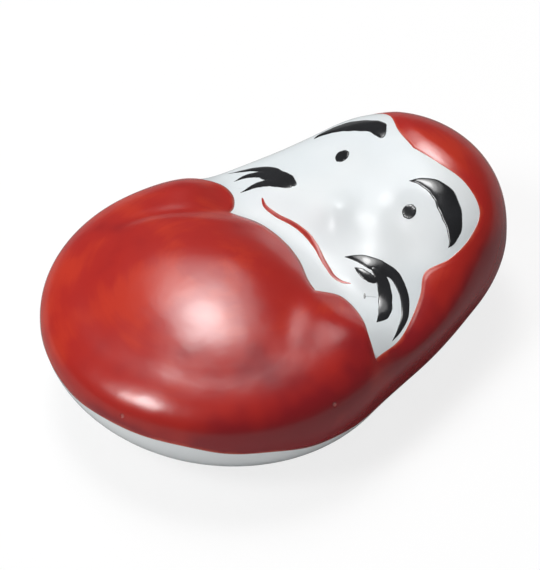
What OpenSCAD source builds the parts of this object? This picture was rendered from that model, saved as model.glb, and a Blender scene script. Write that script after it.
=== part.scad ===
// Chopstick rest in the form of a roly-poly doll lying on its back.
// One pressed porcelain body, with enamel coats painted over the glaze.
// X runs across, Y from the round belly to the hood, Z up from the table.

/* [Body] */
// Length from the belly end to the top of the hood
body_len = 50; // [46:0.5:60]
// Width of the belly
belly_w = 35.9; // [32:0.1:40]
// Width of the head
head_w = 24.8; // [21:0.2:29]
// How far each flank swells past the straight line between belly and head
flank_swell = 1; // [0:0.1:1.5]
// Height of the widest outline at the belly
belly_waist = 8.3; // [7.5:0.1:10]
// Height of the widest outline at the head
head_waist = 8.1; // [6.8:0.1:9]

/* [Top] */
// Height of the belly dome
belly_h = 16.2; // [15:0.1:19]
// Fall of the belly dome from its middle to its edge
belly_fall = 3.7; // [2:0.1:5]
// Height of the face
face_h = 14.1; // [13:0.1:16]
// Rise of the hood above the face
hood_rise = 5.2; // [3:0.1:6]
// Fall of the hood towards its sides
hood_fall = 0.7; // [0:0.1:1.5]
// Depth of the saddle that the chopsticks lie in
saddle_depth = 2; // [0.5:0.1:3]
// Length of the saddle from its lowest line to its shoulder
saddle_len = 4; // [3:0.1:6]
// Rise of the folded sleeves beside the belly
sleeve_rise = 2; // [0:0.1:2.5]
// Rise of the nose, which the other features of the face follow
nose_rise = 0.9; // [0.2:0.1:1.6]
// Step at the front edge of the hood
hood_step = 0.4; // [0.1:0.05:0.8]

/* [Face] */
// Width of the bare face at the temples
face_w = 20.6; // [18:0.1:22]
// Length of the bare face from chin to forehead
face_len = 18.4; // [17:0.1:20]
// Distance from the top of the hood to the middle of the face
face_place = 16.2; // [15:0.1:17]

/* [Foot] */
// Width of the flat foot ring at the belly end
foot_ring_w = 3; // [2:0.1:4]
// Depth of the pressed hollow under the body
hollow_depth = 6; // [3:0.1:7]
// Distance from the widest outline in to the foot at the belly end
foot_tuck = 8.6; // [6:0.1:10]

/* [Enamel] */
// Thickness of the red coat
coat_t = 0.16; // [0.1:0.01:0.3]
// Distance from the widest outline down to the coat's edge at the belly end
coat_end_drop = 0.8; // [0.4:0.1:2]
// Distance from the widest outline down to the coat's edge at the flanks and the hood
coat_side_drop = 4.5; // [3:0.1:5.5]
// Thickness of the black and red brush strokes
stroke_t = 0.12; // [0.08:0.01:0.2]
// Clearance between the porcelain and the enamel on it
enamel_gap = 0.04; // [0.02:0.01:0.06]
// Width of the brows
brow_w = 2.2; // [1.2:0.1:2.8]
// Width of the thickest hair of the moustache
hair_w = 1.4; // [0.8:0.05:1.4]
// Diameter of the eye dots
eye_d = 1.4; // [0.8:0.1:2]
// Width of the mouth line
mouth_w = 0.6; // [0.4:0.05:1]

/* [Hidden] */

// Plan outline: two arcs joined by tangent flanks, seen from a pole on the middle line
belly_r = belly_w / 2;
head_r = head_w / 2;
half_len = body_len / 2;
belly_y = belly_r - half_len;
head_y = half_len - head_r;
lean = asin((belly_r - head_r) / (head_y - belly_y));
pole_share = 0.1;
pole_y = pole_share * half_len;
swell_share = 0.5;
swell_y = swell_share * half_len;
swell_reach_share = 0.37;
swell_reach = swell_reach_share * half_len;
belly_turn = atan2(belly_y + belly_r * sin(lean) - pole_y, belly_r * cos(lean));
head_turn = atan2(head_y + head_r * sin(lean) - pole_y, head_r * cos(lean));

// Side profile of the top: a superellipse between the widest outline and the crown
dome_power = 2.7;
skirt_power = 1.6;
hollow_power = 2.6;
waist_blend_share = 0.16;
waist_blend = waist_blend_share * half_len;

// Face: its middle and its half sizes, which carry every place on it
face_y = half_len - face_place;
face_half = [face_w / 2, face_len / 2];

// Places on the crown: the saddle and the hood by the face, the belly dome by the body
saddle_share = -0.77;
saddle_y = face_y + saddle_share * face_half.y;
hood_start_share = 0.58;
hood_start = face_y + hood_start_share * face_half.y;
hood_blend_share = 0.3;
hood_blend = hood_blend_share * face_half.y;
crest_share = -0.45;
crest_y = crest_share * half_len;
dome_reach_share = 0.47;
dome_reach = dome_reach_share * half_len;
dome_side_share = 0.85;
dome_side = dome_side_share * belly_r;
crease_share = 0.045;
crease = crease_share * belly_h;
cheek_fall_share = 1.6;
cheek_fall = cheek_fall_share * nose_rise;
step_run_share = 3;
step_run = step_run_share * hood_step;

// Bumps of the face: across, along, height by the nose, spread by half the face
feature_shares = [
    [0, -0.24, 1, 0.21],
    [0.7, -0.5, 0.55, 0.23],
    [0.53, 0.6, 0.3, 0.27],
    [0.48, 0.24, -0.4, 0.19]
];
sleeve_share = [1.4, -0.95, 0.355];

// Front edge of the hood from the forehead to the sleeve, in halves of the face
right_hood_shares = [[0, 0.85], [0.3, 0.92], [0.6, 1.01], [0.87, 0.96], [1.02, 0.68], [1.06, 0.38],
                     [1.03, 0.06], [1.17, -0.14], [1.31, -0.4], [1.45, -0.72], [1.55, -1.1]];
left_hood_shares = [[0, 0.85], [-0.3, 0.92], [-0.6, 1.08], [-0.86, 1.08], [-1.1, 0.85], [-1.24, 0.55],
                    [-1.34, 0.25], [-1.42, -0.05], [-1.49, -0.32], [-1.53, -0.6], [-1.54, -0.88]];
// Top edge of the sleeve down to the belly
right_sleeve_shares = [[1.55, -1.1], [1.36, -1.02], [1.16, -0.91], [0.95, -0.84], [0.76, -0.87],
                       [0.65, -1.09]];
left_sleeve_shares = [[-1.54, -0.88], [-1.38, -0.76], [-1.18, -0.68], [-0.98, -0.74], [-0.83, -0.86],
                      [-0.75, -0.98]];
// Edge of the belly under the chin
right_chin_shares = [[0.65, -1.09], [0.48, -1.06], [0.24, -0.94], [0, -0.86]];
left_chin_shares = [[-0.75, -0.98], [-0.52, -0.87], [-0.25, -0.84], [0, -0.86]];

// Brush strokes: across, along, width by the stroke's full width
left_brow_shares = [[-0.33, 0.8, 0.85], [-0.5, 0.81, 0.95], [-0.65, 0.77, 0.97], [-0.8, 0.7, 0.88],
                    [-0.92, 0.61, 0.62], [-1, 0.52, 0.35], [-1.03, 0.42, 0.1]];
right_brow_shares = [[0.28, 0.55, 0.2], [0.37, 0.64, 0.5], [0.5, 0.69, 0.8], [0.64, 0.7, 1.05],
                     [0.78, 0.65, 0.98], [0.9, 0.57, 0.65], [0.98, 0.47, 0.3], [1, 0.41, 0.1]];
left_hair_shares = [
    [[-0.57, -0.24, 0.95], [-0.7, -0.25, 1], [-0.86, -0.24, 0.85], [-1.02, -0.22, 0.65],
     [-1.17, -0.26, 0.45], [-1.28, -0.35, 0.3], [-1.39, -0.46, 0.1]],
    [[-0.92, -0.34, 0.3], [-1, -0.33, 0.45], [-1.09, -0.36, 0.5], [-1.16, -0.43, 0.4],
     [-1.18, -0.55, 0.1]],
    [[-0.68, -0.37, 0.3], [-0.78, -0.385, 0.5], [-0.87, -0.43, 0.55], [-0.93, -0.49, 0.45],
     [-0.97, -0.56, 0.3], [-0.98, -0.64, 0.1]]
];
right_hair_shares = [
    [[0.46, -0.5, 0.2], [0.55, -0.43, 0.65], [0.66, -0.37, 0.9], [0.78, -0.3, 0.9], [0.91, -0.24, 0.78],
     [1.06, -0.27, 0.7], [1.18, -0.35, 0.6], [1.27, -0.45, 0.5], [1.35, -0.6, 0.33], [1.42, -0.75, 0.1]],
    [[0.83, -0.41, 0.35], [0.9, -0.42, 0.7], [1, -0.46, 0.9], [1.09, -0.54, 0.95], [1.16, -0.63, 0.75],
     [1.2, -0.71, 0.5], [1.23, -0.78, 0.1]],
    [[0.6, -0.52, 0.15], [0.68, -0.5, 0.35], [0.76, -0.49, 0.4], [0.83, -0.52, 0.3],
     [0.89, -0.59, 0.22], [0.93, -0.66, 0.1]]
];
mouth_shares = [[-0.72, -0.58, 0.8], [-0.56, -0.64, 0.9], [-0.35, -0.605, 1], [-0.13, -0.58, 1],
                [0.08, -0.6, 1], [0.29, -0.665, 1], [0.48, -0.72, 0.95], [0.61, -0.72, 0.8],
                [0.7, -0.66, 0.6]];
eye_share = [0.5, 0.33];

// Counts of facets: columns along each edge of the face, rings from the face outwards
hood_cols = 22;
sleeve_cols = 8;
chin_cols = 10;
face_rings = 10;
coat_rings = 16;
tuck_rings = 3;
skirt_rings = 4;
hollow_rings = 5;
stroke_steps = 14;
stroke_bands = 2;
brow_bands = 4;

// Directions on the outline that the corners of the face edge run to
corner_turn = -12;
notch_turn = -50;
sleeve_bend = 0.7;
// How far round the belly end the coat's edge stays high, and a slow wave in that edge
coat_end_turn = 58;
coat_end_power = 4;
wave_share = 0.06;
wave_count = 7;
// How much of the coat is left at its brushed edges
feather_share = 0.5;
least_end_share = 0.3;
normal_step_share = 0.002;
normal_step = normal_step_share * half_len;
seam_share = 0.000001;

function smooth_max(a, b, soft) = (a + b + sqrt(pow(a - b, 2) + soft * soft)) / 2;
function ramp(s) = let(t = min(max(s, 0), 1)) t * t * (3 - 2 * t);
function bell(x, y, centre, reach) =
    exp(-(pow(abs(x) - centre.x, 2) + pow(y - centre.y, 2)) / pow(reach, 2));
function on_face(share) = [share.x * face_half.x, face_y + share.y * face_half.y];

// Point at share t of a smooth curve through the given points
function spline(pts, t) =
    let(
        last = len(pts) - 1,
        s = min(max(t, 0), 1) * last,
        i = min(floor(s), last - 1),
        f = s - i,
        b = pts[i],
        c = pts[i + 1],
        a = i > 0 ? pts[i - 1] : 2 * b - c,
        d = i + 2 <= last ? pts[i + 2] : 2 * c - b
    )
    b + f * ((c - a) + f * ((2 * a - 5 * b + 4 * c - d) + f * (3 * b - 3 * c + d - a))) / 2;

// Distance from the pole to an arc of the outline, and to a flank
function arc_reach(turn, cy, r) =
    let(
        rise = pole_y - cy,
        along = rise * sin(turn)
    )
    sqrt(along * along - rise * rise + r * r) - along;
function flank_reach(turn) =
    (belly_r + (belly_y - pole_y) * sin(lean)) / (abs(cos(turn)) * cos(lean) + sin(turn) * sin(lean));
function plain_reach(turn) =
    let(fold = atan2(sin(turn), abs(cos(turn))))
    fold < belly_turn ? arc_reach(turn, belly_y, belly_r)
    : fold > head_turn ? arc_reach(turn, head_y, head_r)
    : flank_reach(turn);
function outline_reach(turn) =
    let(
        r = plain_reach(turn),
        y = pole_y + r * sin(turn)
    )
    r + flank_swell * pow(cos(turn), 2) * exp(-pow((y - swell_y) / swell_reach, 2));
function outline_point(turn, share) =
    let(r = outline_reach(turn) * share) [r * cos(turn), pole_y + r * sin(turn)];

// Height of the widest outline, and of the crown over each place of the plan
function waist(y) = belly_waist + (head_waist - belly_waist) / (1 + exp((pole_y - y) / waist_blend));
function face_sheet(x, y) =
    face_h
    - saddle_depth * exp(-pow((y - saddle_y) / saddle_len, 2))
    + (hood_rise - hood_fall * pow(x / face_half.x, 2)) / (1 + exp((hood_start - y) / hood_blend))
    - cheek_fall * pow(x / face_half.x, 2) * exp(-pow((y - face_y) / face_half.y, 2))
    + sleeve_rise * bell(x, y, on_face(sleeve_share), sleeve_share[2] * face_half.x)
    + nose_rise * sum_features(x, y, 0);
function sum_features(x, y, i) =
    i == len(feature_shares) ? 0
    : let(f = feature_shares[i])
      f[2] * bell(x, y, on_face(f), f[3] * face_half.x) + sum_features(x, y, i + 1);
function belly_dome(x, y) =
    belly_h - belly_fall * (pow(x / dome_side, 2) + pow((y - crest_y) / dome_reach, 2));
function crown(x, y) = smooth_max(face_sheet(x, y), belly_dome(x, y), crease);

// How far out a place lies: 0 at the pole, 1 on the widest outline
function out_share(x, y) =
    min(norm([x, y - pole_y]) / outline_reach(atan2(y - pole_y, x)), 1);
function top_z(x, y, lift = 0) =
    let(side = pow(1 - pow(out_share(x, y), dome_power), 1 / dome_power))
    waist(y) + (crown(x, y) + lift - waist(y)) * side;

// Foot: the outline drawn in by the tuck, then by the ring's width
foot_share = 1 - foot_tuck / outline_reach(-90);
ring_share = foot_share - foot_ring_w / outline_reach(-90);

// Columns from the face edge out to the outline: edge point, direction, share of the hood's step
function half_edge(hood, sleeve, chin) = concat(
    [for (i = [0 : hood_cols - 1]) let(t = i / hood_cols)
        [spline(hood, t), 90 + (corner_turn - 90) * t, 1]],
    [for (i = [0 : sleeve_cols - 1]) let(t = i / sleeve_cols)
        [spline(sleeve, t), corner_turn + (notch_turn - corner_turn) * pow(t, sleeve_bend),
         1 - ramp(t * step_run_share)]],
    [for (i = [0 : chin_cols]) let(t = i / chin_cols)
        [spline(chin, t), notch_turn - (90 + notch_turn) * t, 0]]
);
right_edge = half_edge(right_hood_shares, right_sleeve_shares, right_chin_shares);
left_edge = half_edge(left_hood_shares, left_sleeve_shares, left_chin_shares);
half_cols = len(right_edge) - 1;
columns = concat(
    right_edge,
    [for (i = [half_cols - 1 : -1 : 1]) let(e = left_edge[i]) [e[0], 180 - e[1], e[2]]]
);
col_count = len(columns);

// Rows of the outside, from the first ring of the face down to the foot
function coat_point(col, k) =
    let(
        start = on_face(col[0]),
        end = outline_point(col[1], 1),
        start_share = out_share(start.x, start.y),
        first = asin(start_share),
        share = sin(first + (90 - first) * k / coat_rings),
        reach = (share - start_share) / (1 - start_share),
        p = start + (end - start) * reach,
        lift = hood_step * col[2] * ramp(norm(p - start) / step_run)
    )
    [p.x, p.y, k == coat_rings ? waist(p.y) : top_z(p.x, p.y, lift)];
function face_point(col, k) =
    let(p = on_face(col[0] * k / face_rings))
    [p.x, p.y, top_z(p.x, p.y)];
function skirt_point(turn, drop) =
    let(
        p = outline_point(turn, foot_share + (1 - foot_share) * pow(max(cos(drop), 0), 2 / skirt_power)),
        y = outline_point(turn, 1).y
    )
    [p.x, p.y, waist(y) * (1 - pow(sin(drop), 2 / skirt_power))];
function edge_drop(turn) =
    let(
        from_end = abs(atan2(cos(turn), -sin(turn))),
        high = exp(-pow(from_end / coat_end_turn, coat_end_power)),
        fall = coat_side_drop + (coat_end_drop - coat_side_drop) * high,
        y = outline_point(turn, 1).y
    )
    asin(pow(fall * (1 + wave_share * sin(wave_count * turn)) / waist(y), skirt_power / 2));
function hollow_point(turn, k) =
    let(t = 90 * k / hollow_rings)
    concat(outline_point(turn, ring_share * pow(cos(t), 2 / hollow_power)),
        hollow_depth * pow(sin(t), 2 / hollow_power));

face_rows = [for (k = [1 : face_rings]) [for (c = columns) face_point(c, k)]];
coat_rows = concat(
    [for (k = [1 : coat_rings]) [for (c = columns) coat_point(c, k)]],
    [for (k = [1 : tuck_rings]) [for (c = columns) skirt_point(c[1], edge_drop(c[1]) * k / tuck_rings)]]
);
skirt_rows = [for (k = [1 : skirt_rings]) [for (c = columns)
    let(d = edge_drop(c[1])) skirt_point(c[1], d + (90 - d) * k / skirt_rings)]];
hollow_rows = [for (k = [0 : hollow_rings - 1]) [for (c = columns) hollow_point(c[1], k)]];
edge_row = face_rows[face_rings - 1];

// Triangles between two neighbouring rows, and from a row to one point
function band(from, to, count, closed = true) =
    [for (i = [0 : count - (closed ? 1 : 2)]) let(j = (i + 1) % count)
        each [[from + i, to + i, to + j], [from + i, to + j, from + j]]];
function fan(row, tip, count) = [for (i = [0 : count - 1]) [row + i, row + (i + 1) % count, tip]];
function flat(rows) = [for (r = rows) each r];

// Outward direction of the surface at one place of a grid of rows
function grid_normal(rows, k, i) =
    let(
        n = len(rows[k]),
        across = rows[k][(i + 1) % n] - rows[k][(i + n - 1) % n],
        down = rows[min(k + 1, len(rows) - 1)][i] - rows[max(k - 1, 0)][i],
        v = cross(across, down)
    )
    v / norm(v);

module porcelain_body() {
    rows = concat(face_rows, coat_rows, skirt_rows, hollow_rows);
    top = len(rows) * col_count;
    points = concat(
        flat(rows),
        [[0, face_y, top_z(0, face_y)], [0, pole_y, hollow_depth]]
    );
    faces = concat(
        fan(0, top, col_count),
        [for (k = [0 : len(rows) - 2]) each band(k * col_count, (k + 1) * col_count, col_count)],
        [for (f = fan((len(rows) - 1) * col_count, top + 1, col_count)) [f[1], f[0], f[2]]]
    );
    color("#E6EAEC") polyhedron(points, faces);
}

// Red hood and robe, from the face edge to the brushed edge over the bare foot
module red_coat() {
    rows = concat([edge_row], coat_rows);
    last = len(rows) - 1;
    lower = [for (k = [0 : last]) [for (i = [0 : col_count - 1])
        rows[k][i] + enamel_gap * grid_normal(rows, k, i)]];
    upper = [for (k = [0 : last]) [for (i = [0 : col_count - 1])
        rows[k][i] + (enamel_gap + coat_t * (k == 0 || k == last ? feather_share : 1))
        * grid_normal(rows, k, i)]];
    under = len(rows) * col_count;
    faces = concat(
        [for (k = [0 : last - 1]) each band(k * col_count, (k + 1) * col_count, col_count)],
        [for (k = [0 : last - 1])
            each band(under + (k + 1) * col_count, under + k * col_count, col_count)],
        band(under, 0, col_count),
        band(last * col_count, under + last * col_count, col_count)
    );
    color("#B3261E") polyhedron(concat(flat(upper), flat(lower)), faces);
}

// A place of the face by the two edge points of the wedge between columns i and i + 1
function wedge_parts(share, i) =
    let(
        a = columns[i][0],
        b = columns[(i + 1) % col_count][0]
    )
    [cross(share, b), cross(a, share)] / cross(a, b);
function face_z(k, i) = k == 0 ? top_z(0, face_y) : face_rows[k - 1][i % col_count].z;

// Height of the body's own facets over a place of the face, so that the enamel rests on them
function facet_z(x, y) =
    let(
        share = [x / face_half.x, (y - face_y) / face_half.y],
        wedge = [for (i = [0 : col_count - 1]) let(w = wedge_parts(share, i))
            if (min(w) > -seam_share) [w * face_rings, i]][0],
        w = wedge[0],
        i = wedge[1],
        k = min(floor(w.x + w.y), face_rings - 1)
    )
    w.x * (k + 1) + w.y * k > k * (k + 1)
    ? let(
        right = w.y / (k + 1),
        left = w.x - k * (1 - right)
    )
    left * face_z(k + 1, i) + right * face_z(k + 1, i + 1) + (1 - left - right) * face_z(k, i)
    : let(
        left = w.x / max(k, 1),
        outer = w.x + w.y - k
    )
    left * face_z(k, i) + outer * face_z(k + 1, i + 1) + (1 - left - outer) * face_z(k, i + 1);

// Point at a height over the facets of the face, square to the glazed top
function over_top(p, height) =
    let(
        dx = top_z(p.x + normal_step, p.y) - top_z(p.x - normal_step, p.y),
        dy = top_z(p.x, p.y + normal_step) - top_z(p.x, p.y - normal_step),
        n = [-dx, -dy, 2 * normal_step]
    )
    [p.x, p.y, facet_z(p.x, p.y)] + height * n / norm(n);

// Narrowing of a stroke to its round ends, never quite to nothing
function end_round(t, power) =
    max(least_end_share, sqrt(max(1 - pow(abs(2 * t - 1), power), 0)));

// One brush stroke along a curve: bands across it, flat below and round above
module stroke(path_shares, full_w, steps = stroke_steps, bands = stroke_bands, end_power = 4) {
    path = [for (s = path_shares) concat(on_face(s), s[2] * full_w)];
    near = 1 / (4 * steps);
    slices = [for (k = [0 : steps]) let(
        t = (1 - cos(180 * k / steps)) / 2,
        c = spline(path, t),
        ahead = spline(path, t + near) - spline(path, t - near),
        side = [-ahead.y, ahead.x] / norm([ahead.x, ahead.y]),
        half = c.z / 2 * end_round(t, end_power)
    ) [for (i = [0 : bands]) [c.x, c.y] + side * half * (2 * i / bands - 1)]];
    across = bands + 1;
    under = across * (steps + 1);
    upper = [for (s = slices) each [for (i = [0 : bands])
        over_top(s[i], enamel_gap + stroke_t * (1 - feather_share * pow(2 * i / bands - 1, 2)))]];
    lower = [for (s = slices) each [for (p = s) over_top(p, enamel_gap)]];
    faces = concat(
        [for (k = [0 : steps - 1]) let(
            a = across * k,
            b = a + across,
            c = a + bands,
            d = b + bands
        ) each concat(
            band(b, a, across, false),
            band(under + a, under + b, across, false),
            [[a, b, under + b], [a, under + b, under + a]],
            [[c, under + d, d], [c, under + c, under + d]])],
        [for (w = [0 : bands - 1]) each [[w, under + w, under + w + 1], [w, under + w + 1, w + 1]]],
        [for (w = [0 : bands - 1]) let(e = across * steps + w)
            each [[e, under + e + 1, under + e], [e, e + 1, under + e + 1]]]
    );
    polyhedron(concat(upper, lower), faces);
}

module left_brow() {
    color("#1B1B1D") stroke(left_brow_shares, brow_w, bands = brow_bands);
}
module right_brow() {
    color("#1B1B1D") stroke(right_brow_shares, brow_w, bands = brow_bands);
}
module eye(side) {
    half_share = eye_d / (2 * face_half.x);
    path_shares = [for (s = [-1, 1]) [side * eye_share.x + s * half_share, eye_share.y, 1]];
    color("#242426") stroke(path_shares, eye_d, end_power = 2);
}
module left_eye() {
    eye(-1);
}
module right_eye() {
    eye(1);
}
module hair(path_shares) {
    color("#1B1B1D") stroke(path_shares, hair_w);
}
module mouth_line() {
    color("#8E2B28") stroke(mouth_shares, mouth_w, 2 * stroke_steps);
}

porcelain_body();
red_coat();
left_brow();
right_brow();
left_eye();
right_eye();
hair(left_hair_shares[0]);  // left_outer_hair
hair(left_hair_shares[1]);  // left_middle_hair
hair(left_hair_shares[2]);  // left_inner_hair
hair(right_hair_shares[0]);  // right_outer_hair
hair(right_hair_shares[1]);  // right_middle_hair
hair(right_hair_shares[2]);  // right_inner_hair
mouth_line();
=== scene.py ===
"""Porcelain chopstick rest: a roly-poly doll lying on its back, glazed white and painted in enamel.

The top is one height function of the plan: the solid's own, with the shallow swellings, dips and
folds that pressing by hand leaves. Below the widest outline the side runs in to a foot ring. The robe,
the brows, the hairs, the eyes and the mouth are thin coats that follow that form.
Sizes are in metres. X runs across, Y from the belly to the hood, Z up from the table.
"""
import math

import bpy
import numpy as np
from mathutils import Matrix


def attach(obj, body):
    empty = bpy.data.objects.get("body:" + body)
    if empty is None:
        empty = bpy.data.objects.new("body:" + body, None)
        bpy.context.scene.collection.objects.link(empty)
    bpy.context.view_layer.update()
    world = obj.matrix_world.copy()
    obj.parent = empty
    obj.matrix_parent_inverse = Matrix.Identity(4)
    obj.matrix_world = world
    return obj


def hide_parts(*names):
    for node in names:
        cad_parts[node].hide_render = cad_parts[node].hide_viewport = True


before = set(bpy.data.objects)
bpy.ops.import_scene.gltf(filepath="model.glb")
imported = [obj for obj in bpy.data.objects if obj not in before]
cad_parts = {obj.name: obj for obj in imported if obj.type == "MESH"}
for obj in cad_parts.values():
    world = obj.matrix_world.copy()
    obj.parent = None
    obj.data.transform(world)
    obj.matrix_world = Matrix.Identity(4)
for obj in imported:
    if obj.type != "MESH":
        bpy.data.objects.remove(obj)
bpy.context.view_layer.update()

# One millimetre, and a share too small to divide by
MM = 0.001
TINY = 1e-6

# Plan of the body, as on the solid
BODY_LEN = 50.0 * MM
BELLY_R = 17.95 * MM
HEAD_R = 12.4 * MM
FLANK_SWELL = 1.0 * MM
HALF_LEN = BODY_LEN / 2
BELLY_Y = BELLY_R - HALF_LEN
HEAD_Y = HALF_LEN - HEAD_R
LEAN = math.asin((BELLY_R - HEAD_R) / (HEAD_Y - BELLY_Y))
POLE_Y = 0.1 * HALF_LEN
SWELL_Y = 0.5 * HALF_LEN
SWELL_REACH = 0.37 * HALF_LEN
BELLY_TURN = math.atan2(BELLY_Y + BELLY_R * math.sin(LEAN) - POLE_Y, BELLY_R * math.cos(LEAN))
HEAD_TURN = math.atan2(HEAD_Y + HEAD_R * math.sin(LEAN) - POLE_Y, HEAD_R * math.cos(LEAN))

# Heights and relief of the top
BELLY_WAIST = 8.3 * MM
HEAD_WAIST = 8.1 * MM
WAIST_BLEND = 0.16 * HALF_LEN
BELLY_H = 16.2 * MM
BELLY_FALL = 3.7 * MM
CREST_Y = -0.45 * HALF_LEN
DOME_REACH = 0.47 * HALF_LEN
DOME_SIDE = 0.85 * BELLY_R
FACE_H = 14.1 * MM
SADDLE_DEPTH = 2.0 * MM
SADDLE_LEN = 4.0 * MM
HOOD_RISE = 5.2 * MM
HOOD_FALL = 0.7 * MM
HOOD_STEP = 0.3 * MM
HOOD_STEP_RUN = 6 * HOOD_STEP
SLEEVE_RISE = 2.0 * MM
NOSE_RISE = 0.9 * MM
CREASE = 0.045 * BELLY_H
CHEEK_FALL = 1.6 * NOSE_RISE
DOME_POWER = 2.7
SKIRT_POWER = 1.6

# Fold between the belly and each sleeve, the left one first: how deep or high it is and where it ends;
# then the gap between face sheet and belly dome that it reaches to, and where from the middle it starts
FOLD_DEPTHS = (-0.35 * MM, 0.16 * MM)
FOLD_ENDS = (-12 * MM, -9 * MM)
FOLD_REACH = 0.5 * MM
FOLD_START = 3.5 * MM

# Face: its middle and its half sizes
FACE_Y = HALF_LEN - 16.2 * MM
FACE_HALF = np.array([10.3, 9.2]) * MM
SADDLE_Y = FACE_Y - 0.77 * FACE_HALF[1]
HOOD_START = FACE_Y + 0.58 * FACE_HALF[1]
HOOD_BLEND = 0.3 * FACE_HALF[1]

# Bumps in halves of the face: across, along, rise by the nose's, and reach by half the face's width
FEATURES = {
    "nose": (0, -0.24, 1, 0.21),
    "cheek": (0.7, -0.5, 0.55, 0.23),
    "brow": (0.53, 0.6, 0.3, 0.27),
    "hollow of the eye": (0.48, 0.24, -0.4, 0.19),
}
# Folded sleeve: across, along and reach in the same shares
SLEEVE = (1.4, -0.95, 0.355)

# Soft swellings and dips of the hand-pressed top: across, along, rise and reach in millimetres
SWELLINGS = {
    "front of the belly": (7, -21, 0.4, 4),
    "flat top of the belly": (0, -13, -0.25, 8),
    "belly towards the chin": (1, -5, 0.3, 4),
    "inner side of the right sleeve": (10, -2, 0.2, 3),
    "ridge under the right brow": (9.5, 14, 0.4, 2),
    "dip outside the right eye": (8, 10, -0.3, 2),
    "beside the root of the nose": (4, 9, 0.2, 2),
}

# Foot
FOOT_SHARE = 1 - 8.6 * MM / (HALF_LEN + POLE_Y)
RING_SHARE = FOOT_SHARE - 3.0 * MM / (HALF_LEN + POLE_Y)
HOLLOW_DEPTH = 6.0 * MM
HOLLOW_POWER = 2.6

# Edges of the bare face, in halves of the face: the hood's, the sleeve's and the belly's
RIGHT_EDGES = (
    [(0, 0.85), (0.3, 0.92), (0.6, 1.01), (0.87, 0.96), (1.02, 0.68), (1.06, 0.38), (1.03, 0.06),
     (1.17, -0.14), (1.31, -0.4), (1.45, -0.72), (1.55, -1.1)],
    [(1.55, -1.1), (1.36, -1.02), (1.16, -0.91), (0.95, -0.84), (0.76, -0.87), (0.65, -1.09)],
    [(0.65, -1.09), (0.48, -1.04), (0.24, -0.92), (0, -0.845)],
)
LEFT_EDGES = (
    [(0, 0.85), (-0.3, 0.92), (-0.6, 1.08), (-0.86, 1.08), (-1.1, 0.85), (-1.24, 0.55), (-1.34, 0.25),
     (-1.42, -0.05), (-1.49, -0.32), (-1.53, -0.6), (-1.54, -0.88)],
    [(-1.54, -0.88), (-1.38, -0.8), (-1.18, -0.705), (-0.98, -0.74), (-0.83, -0.86), (-0.75, -0.98)],
    [(-0.75, -0.98), (-0.52, -0.86), (-0.25, -0.825), (0, -0.845)],
)

# Brush strokes: across, along, width by the stroke's full width, and how much enamel covers there; on the
# right inner hair a low covering is painted highlight
LEFT_BROW = [(-0.35, 0.8, 0.82), (-0.5, 0.81, 0.95), (-0.65, 0.76, 0.97), (-0.8, 0.69, 0.88),
             (-0.92, 0.6, 0.62), (-1, 0.51, 0.35), (-1.03, 0.42, 0.1)]
RIGHT_BROW = [(0.27, 0.54, 0.15), (0.37, 0.63, 0.5), (0.5, 0.69, 0.82), (0.64, 0.7, 1.05), (0.78, 0.65, 1),
              (0.9, 0.57, 0.7), (0.97, 0.48, 0.32), (0.99, 0.41, 0.05)]
LEFT_HAIRS = {
    "outer": [[(-0.56, -0.245, 0.95), (-0.7, -0.25, 1.2), (-0.86, -0.24, 1.05), (-1.02, -0.22, 0.85),
               (-1.17, -0.26, 0.6), (-1.28, -0.35, 0.4), (-1.4, -0.48, 0.05)]],
    "middle": [[(-0.75, -0.28, 0.9), (-0.9, -0.3, 0.95), (-1.02, -0.31, 0.8), (-1.11, -0.36, 0.7),
                (-1.16, -0.44, 0.5), (-1.18, -0.58, 0.05)]],
    "inner": [[(-0.58, -0.29, 0.8), (-0.72, -0.33, 1), (-0.83, -0.38, 0.95), (-0.91, -0.45, 0.75),
               (-0.95, -0.53, 0.5), (-0.98, -0.67, 0.05)]],
}
# The right hairs are drawn apart at their root with bare glaze between, and the inner one broken into a dark
# lens and faint grey wisps: painted highlight where a reflection washes across the black root and inner hair
RIGHT_HAIRS = {
    "outer": [[(0.44, -0.51, 0.15), (0.54, -0.44, 0.62), (0.66, -0.375, 0.95), (0.78, -0.31, 1),
               (0.9, -0.25, 0.8), (1.06, -0.275, 0.7), (1.18, -0.35, 0.6), (1.27, -0.45, 0.5),
               (1.36, -0.61, 0.33), (1.45, -0.8, 0.05)]],
    "middle": [[(0.72, -0.39, 0.7), (0.83, -0.38, 0.95), (0.92, -0.41, 0.95), (1.01, -0.47, 1),
                (1.1, -0.55, 0.98), (1.16, -0.64, 0.75), (1.19, -0.71, 0.45), (1.22, -0.79, 0.05)]],
    "inner": [[(0.61, -0.52, 0.15), (0.69, -0.505, 0.5), (0.77, -0.485, 0.62), (0.86, -0.44, 0.6)],
              [(0.97, -0.54, 0.1, 0.1), (0.93, -0.59, 0.1, 0.4), (0.89, -0.64, 0.14, 0.5)],
              [(0.86, -0.61, 0.05, 0.8), (0.89, -0.64, 0.16, 0.9), (0.92, -0.665, 0.08, 0.7)]],
}
MOUTH = [(-0.72, -0.58, 1.2, 0.9), (-0.6, -0.635, 1), (-0.44, -0.63, 1), (-0.28, -0.6, 1), (-0.13, -0.59, 1),
         (0.02, -0.6, 1.1), (0.16, -0.625, 1), (0.29, -0.67, 0.95), (0.42, -0.71, 0.9), (0.53, -0.735, 0.85),
         (0.63, -0.72, 0.85), (0.715, -0.66, 0.8, 0.8)]
EYE = (0.5, 0.33)
BROW_W = 2.2 * MM
HAIR_W = 1.4 * MM
EYE_D = 1.4 * MM
MOUTH_W = 0.5 * MM

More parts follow.
